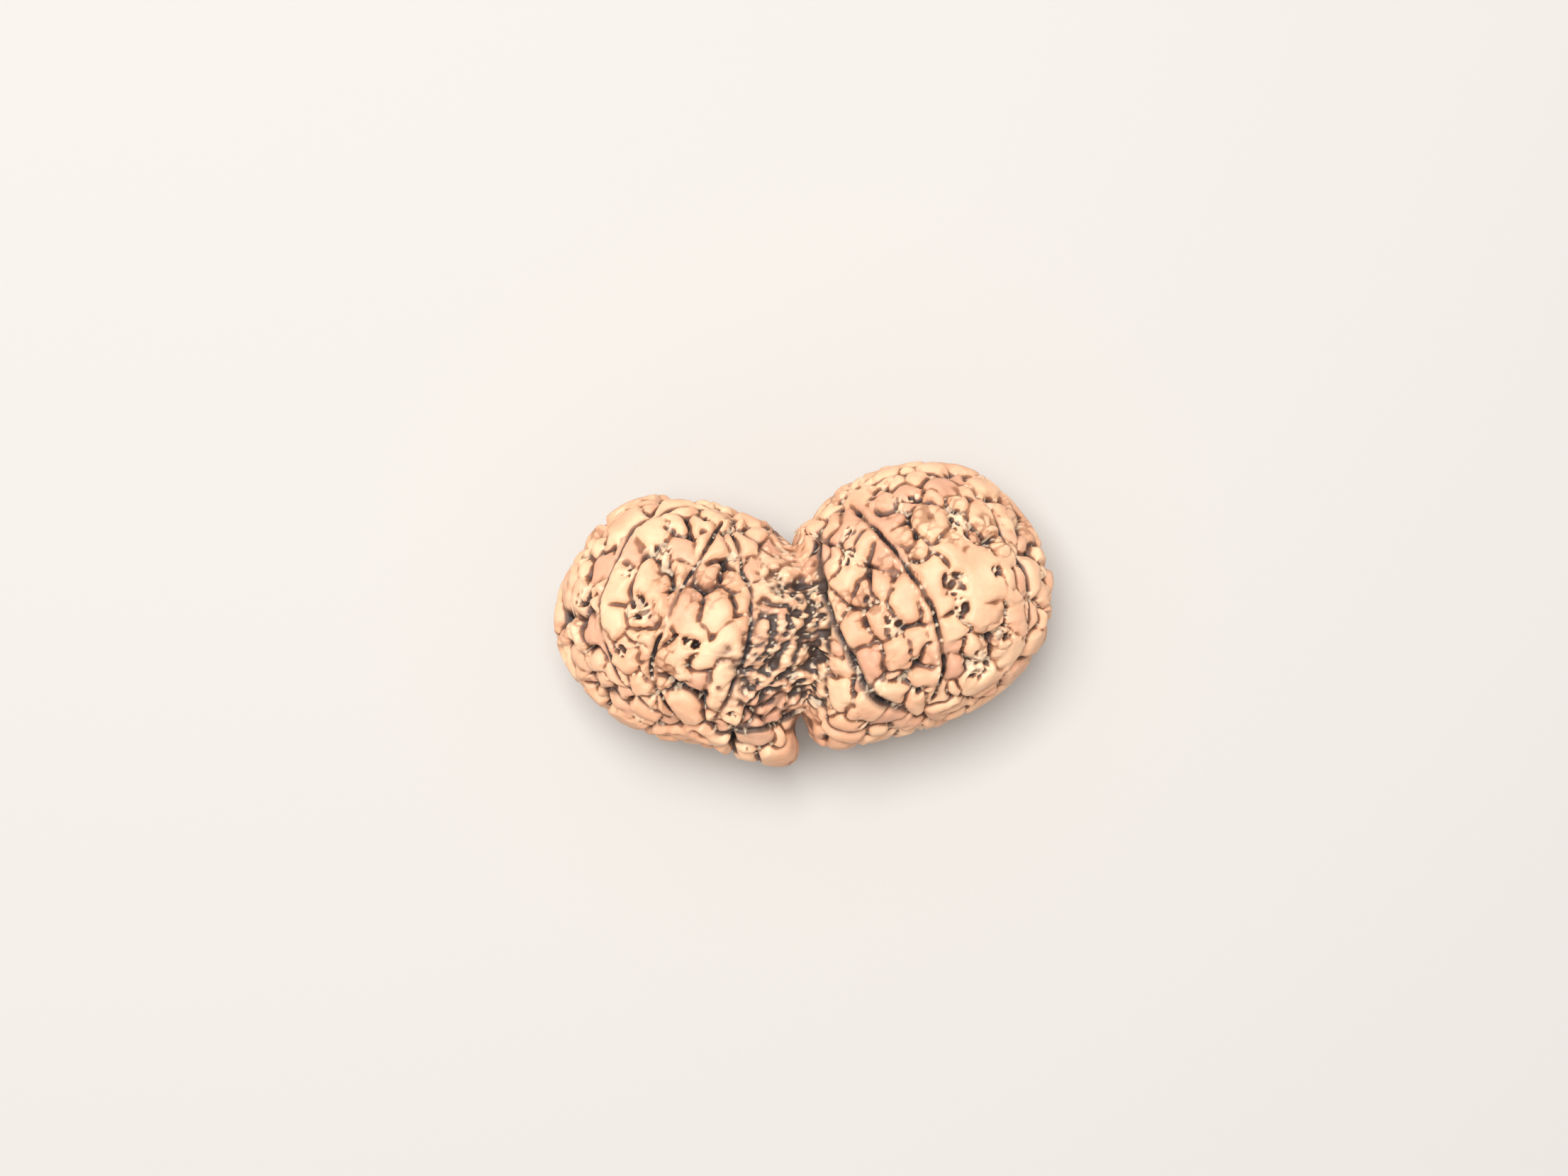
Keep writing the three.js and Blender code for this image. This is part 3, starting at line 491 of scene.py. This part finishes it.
# Depth of the plates: each one's own level and tilt, and added to it the cracks (strength times a bell of how
# much farther off the second plate is), the rounding towards them, and the hollows that no plate reaches
def plateRelief(lobe, p):
    gaps, numbers, tilt = plateGaps(lobe, p)
    edge = gaps[1] - gaps[0]
    lows = lobe["seedLow"][numbers]
    pair = hashOf(lows[0] + lows[1], 3.1, 7.7)
    even = 0.5 + 0.5 * smooth(0, 0.45, edge)      # half at a crack, so that neighbours meet there
    low = even * lows[0] + (1 - even) * lows[1]
    tilted = even * tilt[0] + (1 - even) * tilt[1]
    strength = 0.85 + 0.9 * noiseAt(p, 1.4, 90) - relief["weakBy"] * (pair < relief["weakCracks"])
    fusing = np.zeros(len(p))
    for x, y, r in lobe["fused"]:
        fusing = np.maximum(fusing, 1 - smooth(0.6 * r, r, np.linalg.norm(p - onSkin(lobe, x, y), axis=1)))
    strength = np.clip(strength - 0.7 * fusing, relief["leastCrack"], 1)
    line = strength * smooth(0.15, 0.45, strength) * bell(edge, relief["crackWidth"])
    rim = rimOf(lobe, p)
    bold = lobe["boldness"] + lobe["rimBoldness"] * rim       # knobs stand out round the rim
    level = bold * (relief["plateSpread"] * low + relief["plateTilt"] * tilted) * (1 - 0.6 * fusing)
    depth = (level - relief["plateLift"] - relief["rimLift"] * rim + relief["crackDepth"] * line
             + bold * relief["edgeDepth"] * (0.3 + 0.7 * strength) * bell(edge, relief["edgeWidth"])
             + relief["hollowDepth"] * smooth(0.1, 0.9, gaps[0]))

    # thin woody webs stand across the hollows between plates
    near, far, own = cellsAt(p + warp(p, 0.2, 0.6, 43), 0.6, 41)
    between = smooth(0.05, 0.3, gaps[0])
    web = (1 - smooth(0.05, 0.28, far - near)) * smooth(-0.5, 0.0, noiseAt(p, 0.7, 29)) * between
    depth = depth + 0.15 * between - 0.2 * web
    return depth, {"level": level, "low": low, "line": line, "strength": strength, "fusing": fusing,
                   "web": web}


# The plates' own unevenness, thin wrinkles where a noise crosses nought, and crumbly patches of finer cells
# where a broad noise is high
def fineRelief(p, depth, plates):
    depth = depth + 0.1 * noiseAt(p, 1.2, 140) + 0.05 * noiseAt(p, 0.5, 150)
    wander = noiseAt(p + warp(p, 0.25, 0.8, 3), 1.9, 160)
    wrinkle = bell(wander, 0.07) * smooth(-0.1, 0.4, noiseAt(p, 1.7, 170)) * (1 - 0.7 * plates["fusing"])
    crumbly = smooth(0.05, 0.45, noiseAt(p, 2.7, 130)) * plates["strength"]
    near, far, own = cellsAt(p + warp(p, 0.16, 0.5, 7), 0.75, 3)
    fine = bell(far - near, 0.2)
    depth = depth + relief["wrinkleDepth"] * wrinkle + crumbly * (0.15 * fine + 0.2 * own)
    return depth, np.maximum(plates["line"], np.maximum(0.9 * crumbly * fine, 0.45 * wrinkle))


# Furrows: a thin dark seam in a trough, both bells of the distance to it, which levels the plates that it
# crosses, with a grainy rib beside it and pale beads in the widest. The seam's near black is partly painted
# shade
def furrowRelief(lobe, p, depth):
    side, opening, ribbed, away = furrowDistance(lobe, p)
    fade = smooth(0.5, 2.2, away) * opening
    patchy = np.clip(0.8 + 0.6 * noiseAt(p, 1.2, 61) + 0.5 * noiseAt(p, 0.6, 63), 0.3, 1.1)
    thin = bell(side, relief["furrowWidth"]) * fade * patchy
    channel = bell(side, relief["channelWidth"]) * fade
    near, far, own = cellsAt(p, 0.4, 53)
    grains = 1 - smooth(0.2, 0.6, near)
    rib = (bell(side + relief["ribAside"], relief["ribWidth"]) * smooth(-0.5, 0.0, noiseAt(p, 1.6, 60)) * fade
           * ribbed * (0.45 + 0.55 * grains))
    wide = smooth(0.98, 1.08, opening)
    beads = wide * np.minimum(channel, 1) * grains * (own > 0.4)
    furrow = relief["channelDepth"] * channel + relief["furrowDepth"] * thin
    depth = mix(depth, np.clip(depth, -0.1, 0.25), np.minimum(1, 0.8 * channel))
    depth = (np.maximum(depth, furrow) + 0.35 * furrow - relief["ribHeight"] * rib
             - relief["beadHeight"] * beads)
    stain = np.clip(channel, 0, 1) * mix(0.45, 1, wide)
    return depth, {"furrow": thin, "channel": stain, "rib": rib}, beads


# Pits: ragged hollows, the larger ones deeper, with thin broken webs left standing between their holes, and a
# ragged dimple at each pole
def pitRelief(lobe, p, depth):
    ragged = p + warp(p, 0.3, 0.8, 17) + warp(p, 0.14, 0.35, 19)
    pit, deepPit = np.zeros(len(p)), np.zeros(len(p))
    for at, r in zip(lobe["pitAt"], lobe["pitRadius"]):
        within = 1 - smooth(0.8 * r, 1.35 * r, np.linalg.norm(ragged - at, axis=1))
        pit = np.maximum(pit, within)
        deepPit = np.maximum(deepPit, within * (0.35 + 0.65 * hashOf(at[0], at[1], r)))
    near, far, own = cellsAt(p + warp(p, 0.2, 0.5, 9), 0.66, 8)
    web = (1 - smooth(0.06, 0.32, far - near)) * smooth(-0.6, 0.0, noiseAt(p, 0.6, 25))
    floor = mix(0.45 + 0.55 * deepPit * (own > 0.3), 0.22, web)
    depth = np.maximum(depth, pit * relief["pitDepth"] * floor)
    # the pits' floors between their webs and the pole dimples, which the shell paints near black as shade
    dark = pit * (1 - web)
    for pole in (lobe["topPole"], lobe["footPole"]):
        dimple = 1 - smooth(0.1, relief["poleRadius"], np.linalg.norm(ragged - np.array(pole), axis=1))
        depth = np.maximum(depth, relief["poleDepth"] * dimple)
        dark = np.maximum(dark, dimple)
    return depth, dark, web * pit


# Grit and small holes in all the places that lie low beside their plate's level
def gritRelief(p, depth, level):
    valley = smooth(0.2, 0.5, depth - 0.8 * level + 0.1)
    near, far, own = cellsAt(p, 0.42, 31)
    grit = (1 - smooth(0.2, 0.55, near)) * (own > 0.5)
    holes = (1 - smooth(0.1, 0.45, near)) * (own < 0.22)
    return depth + valley * (0.2 * holes - 0.04 * grit), grit * valley


# The rough waist: a band along the crease, widest towards the left lobe's foot, smoother on an apron towards
# the top poles, plain between the two feet, with a broken crevice in the crease
def waistRelief(lobe, p, share, turn, depth):
    toCrease = (1 - share) * waist["lobeLength"]
    if lobe["side"] < 0:
        reach = mix(2.3, 4.2, smooth(1.2, -2.2, p[:, 1])) * mix(0.25, 1, smooth(-6.2, -5.0, p[:, 1]))
    else:
        reach = 1.0
    zone = smooth(1.15, 0.6, toCrease / reach + 0.3 * noiseAt(p, 1.1, 15))
    rough, apron, crumb = waistRough(p)
    plain = smooth(-6.0, -6.8, p[:, 1]) * (p[:, 2] > 5)
    near, far, own = cellsAt(p, 0.3, 61)
    crumb = np.maximum(crumb, (own > 0.6) * (1 - smooth(0.25, 0.55, near)))
    rough, crumb = mix(rough - 0.05 * crumb, 0.2, plain), crumb * (1 - plain)
    depth = mix(depth, rough + 0.35 * np.clip(depth, -0.2, 0.6), zone)
    depth = mix(depth, rough, smooth(0.75, 0.0, toCrease))
    upperSide = smooth(0.45, 0.85, np.sin(turn) + 0.3 * noiseAt(p, 1.3, 3))
    broken = smooth(-0.3, 0.1, noiseAt(p, 0.9, 66)) * upperSide
    crevice = smooth(0.6, 0.05, toCrease + 0.35 * noiseAt(p, 0.8, 44)) * broken * (1 - 0.7 * apron)
    dirty = zone * (1 - 0.8 * apron) * smooth(-0.7, 0.1, noiseAt(p, 1.6, 77) + 0.3)
    return depth + relief["creviceDepth"] * crevice, zone, dirty, crumb


# All the relief of a lobe as depth below its skin, with the masks that its colours read
def carve(lobe, p, share, turn):
    depth, plates = plateRelief(lobe, p)
    depth, line = fineRelief(p, depth, plates)
    depth, masks, beads = furrowRelief(lobe, p, depth)
    depth, dark, pitWeb = pitRelief(lobe, p, depth)
    depth, grit = gritRelief(p, depth, plates["level"])
    depth, zone, dirty, crumb = waistRelief(lobe, p, share, turn, depth)
    pale = np.maximum(0.9 * pitWeb, 0.7 * plates["web"])
    grains = np.maximum(grit, np.maximum(pale, beads))
    masks.update({"line": line, "pit": dark, "grit": grains * (1 - zone) + 0.9 * crumb * zone})
    masks = {name: np.clip(values, 0, 1) for name, values in masks.items()}
    masks.update({"low": plates["low"], "waist": dirty})
    return depth, masks


# A grid over a long box, 2 x 1 x 1 in steps, laid round both lobes: its ends are the end caps, its middle the
# crease. Each corner's number is worked out from its three steps, so faces that meet share their corners
def stoneGrid():
    a, n = stone["stepsAlong"] * 2, stone["stepsRound"]
    def face(u, v):
        return np.stack(np.meshgrid(np.arange(u + 1), np.arange(v + 1), indexing="ij"), -1)
    quads = []
    for lower in (True, False):
        uv = face(n, n)
        x = np.full(uv.shape[:2], 0 if lower else a)
        quads.append((np.stack([x, uv[..., 0], uv[..., 1]], -1), lower))
        uv = face(a, n)
        y = np.full(uv.shape[:2], 0 if lower else n)
        quads.append((np.stack([uv[..., 0], y, uv[..., 1]], -1), not lower))
        quads.append((np.stack([uv[..., 0], uv[..., 1], y], -1), lower))
    keys, corners = [], []
    for grid, flip in quads:
        key = (grid[..., 0] * (n + 1) + grid[..., 1]) * (n + 1) + grid[..., 2]
        q = np.stack([key[:-1, :-1], key[1:, :-1], key[1:, 1:], key[:-1, 1:]], -1).reshape(-1, 4)
        corners.append(q[:, ::-1] if flip else q)
        keys.append(key.ravel())
    corners = np.concatenate(corners)
    used, faces = np.unique(corners.ravel(), return_inverse=True)
    faces = faces.reshape(-1, 4)
    x = used // (n + 1) ** 2
    y = used // (n + 1) % (n + 1)
    z = used % (n + 1)
    return 2 * x / a - 1, 2 * y / n - 1, 2 * z / n - 1, faces


# Average with the mesh neighbours, so many times over
def spreadOver(values, faces, times):
    a = faces.ravel()
    b = np.roll(faces, 1, axis=1).ravel()
    count = np.bincount(a, minlength=len(values)) + np.bincount(b, minlength=len(values))
    for _ in range(times):
        total = np.bincount(a, values[b], len(values)) + np.bincount(b, values[a], len(values))
        values = 0.5 * values + 0.5 * total / count
    return values


def buildStone():
    x, y, z, faces = stoneGrid()
    ring = np.maximum(np.abs(y), np.abs(z))
    cap = np.abs(x) > 1 - 1e-9
    end = stone["endShare"]
    share = np.where(cap, end * ring, end + (1 - end) * (1 - np.abs(x)))
    quarter = math.pi / 4
    bigY, bigZ = np.where(y == 0, 1e-12, y), np.where(z == 0, 1e-12, z)
    turn = np.where(np.abs(y) >= np.abs(z), quarter * z / bigY + np.where(y < 0, math.pi, 0),
                    2 * quarter - quarter * y / bigZ + np.where(z < 0, math.pi, 0))
    skinPoints, outward = np.zeros((len(x), 3)), np.zeros((len(x), 3))
    fields = {}
    depthAll = np.zeros(len(x))
    for lobe in (leftLobe, rightLobe):
        prepareOutline(lobe)
        preparePoles(lobe)
        layPlates(lobe)
        layPits(lobe)
        mine = (x < 0) if lobe["side"] < 0 else (x >= 0)
        s, t = share[mine], turn[mine]
        p = skin(lobe, s, t)
        out = skinNormal(lobe, s, t)
        depth, masks = carve(lobe, p, s, t)
        skinPoints[mine], outward[mine], depthAll[mine] = p, out, depth
        for name, values in masks.items():
            fields.setdefault(name, np.zeros(len(x)))[mine] = values
        deepest = depth.max().round(2)
        print("lobe", lobe["side"], "with", len(lobe["seedLow"]), "plates, relief to", deepest, "mm deep")
    depthAll = spreadOver(depthAll, faces, 1)         # no single point stands up as a needle
    points = skinPoints - depthAll[:, None] * outward
    fields["depth"] = depthAll
    # cavity is how far a point lies below its averaged surroundings; the shell paints shade from it, and lets
    # the waist's grime gather in it
    fields["cavity"] = depthAll - spreadOver(depthAll, faces, stone["cavitySpread"])
    points[:, 2] = np.maximum(points[:, 2], drawing["restLevel"])
    points = (points + np.array(drawing["shift"])) * mm
    mesh = bpy.data.meshes.new("twinStone")
    mesh.from_pydata(points.tolist(), [], faces.tolist())
    for name, values in fields.items():
        attribute = mesh.attributes.new(name, "FLOAT", "POINT")
        attribute.data.foreach_set("value", values.astype(np.float32))
    mesh.polygons.foreach_set("use_smooth", np.ones(len(mesh.polygons), bool))
    mesh.update()
    piece = bpy.data.objects.new("twinStone", mesh)
    bpy.context.scene.collection.objects.link(piece)
    return piece


# sRGB hex to linear colour
def linear(hexCode):
    rgb = [int(hexCode[i:i + 2], 16) / 255 for i in (1, 3, 5)]
    return tuple(c / 12.92 if c <= 0.04045 else ((c + 0.055) / 1.055) ** 2.4 for c in rgb) + (1.0,)


# One node with its settings and what feeds its sockets
def addNode(tree, kind, settings=None, inputs=None):
    node = tree.nodes.new(kind)
    for name, value in (settings or {}).items():
        setattr(node, name, value)
    for socket, value in (inputs or {}).items():
        if isinstance(value, bpy.types.NodeSocket):
            tree.links.new(value, node.inputs[socket])
        else:
            node.inputs[socket].default_value = value
    return node


shell = {
    "top": "#E6AC86",
    "topPale": "#F8C8A0",
    "topPink": "#DFA484",
    # line is the brown of the cracks, and also painted shade in shallow hollows
    "line": "#A5704F",
    # valley is painted shade for deeper hollows
    "valley": "#6C4837",
    # deep is near black painted shade for the deepest hollows, the pits and the furrows' grooves
    "deep": "#231513",
    "grime": "#4A3A33",
    "rib": "#F8DDBB",
    "roughness": 0.58,
    "patches": 260,       # to a metre
    "speckles": 2400,
    "bumpHeight": 0.00008,
}


# Dry fruit stone, a woody shell brushed clean: a matte cream to tan skin on the plates, brown in the cracks,
# dark grime of old pulp in the waist and along the furrows, and painted shade, brown to near black, in hollows,
# pits and furrow grooves
def woodyShell():
    material = bpy.data.materials.new("woodyShell")
    material.use_nodes = True
    tree = material.node_tree
    tree.nodes.clear()
    def field(name):
        node = addNode(tree, "ShaderNodeAttribute", {"attribute_name": name, "attribute_type": "GEOMETRY"})
        return node.outputs["Fac"]
    def blend(factor, a, b, mode="MIX"):
        node = addNode(tree, "ShaderNodeMix", {"data_type": "RGBA", "blend_type": mode})
        for socket, value in ((0, factor), (6, a), (7, b)):
            if isinstance(value, bpy.types.NodeSocket):
                tree.links.new(value, node.inputs[socket])
            else:
                node.inputs[socket].default_value = value
        return node.outputs[2]
    def ramp(value, low, high):
        node = addNode(tree, "ShaderNodeMapRange", {"interpolation_type": "SMOOTHSTEP"},
                       {"Value": value, "From Min": low, "From Max": high})
        return node.outputs["Result"]
    def maths(operation, a, b):
        return addNode(tree, "ShaderNodeMath", {"operation": operation}, {0: a, 1: b}).outputs[0]
    coords = addNode(tree, "ShaderNodeTexCoord").outputs["Object"]
    def noise(scale, detail):
        inputs = {"Vector": coords, "Scale": scale, "Detail": detail}
        return addNode(tree, "ShaderNodeTexNoise", None, inputs).outputs["Fac"]
    patches = noise(shell["patches"], 3)
    speckle = noise(shell["speckles"], 2)
    colour = blend(ramp(patches, 0.35, 0.65), linear(shell["top"]), linear(shell["topPale"]))
    colour = blend(ramp(field("low"), 0.4, 1.1), colour, linear(shell["topPink"]))
    # painted shade: line brown where the surface lies a little below its surroundings
    colour = blend(ramp(field("cavity"), 0.0, 0.075), colour, linear(shell["line"]))
    colour = blend(maths("MULTIPLY", ramp(field("line"), 0.15, 0.8), 0.7), colour, linear(shell["line"]))
    # painted shade: valley brown where the surface lies deeper below its surroundings, and wherever the relief
    # is 0.5 mm deep or more
    colour = blend(ramp(field("cavity"), 0.055, 0.16), colour, linear(shell["valley"]))
    colour = blend(ramp(field("depth"), 0.5, 0.8), colour, linear(shell["valley"]))
    # painted shade: near black where the surface lies far below its surroundings, and where the relief is 0.75
    # mm deep or more
    colour = blend(ramp(field("cavity"), 0.15, 0.3), colour, linear(shell["deep"]))
    colour = blend(ramp(field("depth"), 0.75, 1.05), colour, linear(shell["deep"]))
    dirt = maths("MULTIPLY", field("waist"), ramp(field("cavity"), -0.12, 0.06))
    colour = blend(dirt, colour, linear(shell["grime"]))
    stain = maths("MULTIPLY", ramp(field("channel"), 0.2, 0.9), 0.9)
    colour = blend(stain, colour, linear(shell["grime"]))
    # painted shade: pit floors and pole dimples near black
    colour = blend(maths("MULTIPLY", ramp(field("pit"), 0.4, 0.95), 0.7), colour, linear(shell["deep"]))
    # the furrow's seam near black: its own dark line, deepened by painted shade in its groove
    colour = blend(ramp(field("furrow"), 0.35, 0.85), colour, linear(shell["deep"]))
    colour = blend(maths("MULTIPLY", ramp(field("rib"), 0.4, 0.8), 0.7), colour, linear(shell["rib"]))
    colour = blend(maths("MULTIPLY", ramp(field("grit"), 0.3, 0.8), 0.6), colour, linear(shell["rib"]))
    colour = blend(0.25, colour, blend(speckle, (0.55, 0.55, 0.55, 1), (1.4, 1.4, 1.4, 1)), "MULTIPLY")
    bump = addNode(tree, "ShaderNodeBump", None,
                   {"Strength": 0.3, "Distance": shell["bumpHeight"], "Height": speckle})
    surface = addNode(tree, "ShaderNodeBsdfPrincipled", None,
                      {"Base Color": colour, "Roughness": shell["roughness"], "IOR": 1.5,
                       "Normal": bump.outputs["Normal"]})
    addNode(tree, "ShaderNodeOutputMaterial", None, {"Surface": surface.outputs["BSDF"]})
    return material


twinStone = buildStone()
twinStone.data.materials.append(woodyShell())
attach(twinStone, "root")
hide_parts("twin_stone")
print("twin stone", len(twinStone.data.polygons) * 2, "triangles")

stage = {"floor": "#CCC8C2", "size": 1.2, "world": 0.4, "key": 2.75, "keyAt": (-0.05, 0.1, 0.46),
         "keySize": 0.25}


def makeStage():
    half = stage["size"] / 2
    mesh = bpy.data.meshes.new("floor")
    corners = [(-half, -half, 0), (half, -half, 0), (half, half, 0), (-half, half, 0)]
    mesh.from_pydata(corners, [], [(0, 1, 2, 3)])
    floor = bpy.data.objects.new("floor", mesh)
    bpy.context.scene.collection.objects.link(floor)
    material = bpy.data.materials.new("floorPaper")
    material.use_nodes = True
    paper = material.node_tree.nodes["Principled BSDF"]
    paper.inputs["Base Color"].default_value = linear(stage["floor"])
    paper.inputs["Roughness"].default_value = 0.9
    mesh.materials.append(material)
    world = bpy.data.worlds.new("studio")
    world.use_nodes = True
    world.node_tree.nodes["Background"].inputs["Color"].default_value = linear("#FFFFFF")
    world.node_tree.nodes["Background"].inputs["Strength"].default_value = stage["world"]
    bpy.context.scene.world = world
    bpy.context.scene.view_settings.view_transform = "Standard"
    light = bpy.data.lights.new("softKey", "AREA")
    light.energy = stage["key"]
    light.size = stage["keySize"]
    key = bpy.data.objects.new("softKey", light)
    key.location = stage["keyAt"]
    aim = -np.array(stage["keyAt"])
    tilt = math.acos(-aim[2] / np.linalg.norm(aim))
    key.rotation_euler = (tilt, 0, math.atan2(-aim[1], -aim[0]) + math.pi / 2)
    bpy.context.scene.collection.objects.link(key)


# Straight down, turned with the picture; the distance makes the frame as wide as the picture at mid height
def makeCamera():
    camera = bpy.data.cameras.new("photoView")
    camera.lens, camera.sensor_width = view["lens"], view["sensor"]
    away = view["frameWidth"] * view["lens"] / view["sensor"]
    piece = bpy.data.objects.new("photoView", camera)
    shift = drawing["shift"]
    piece.location = ((view["frameMiddle"][0] + shift[0]) * mm, (view["frameMiddle"][1] + shift[1]) * mm,
                      (view["midHeight"] + shift[2] + away) * mm)
    piece.rotation_euler = (0, 0, math.radians(view["turn"]))
    camera.clip_start = 0.001
    bpy.context.scene.collection.objects.link(piece)
    bpy.context.scene.camera = piece


makeStage()
makeCamera()
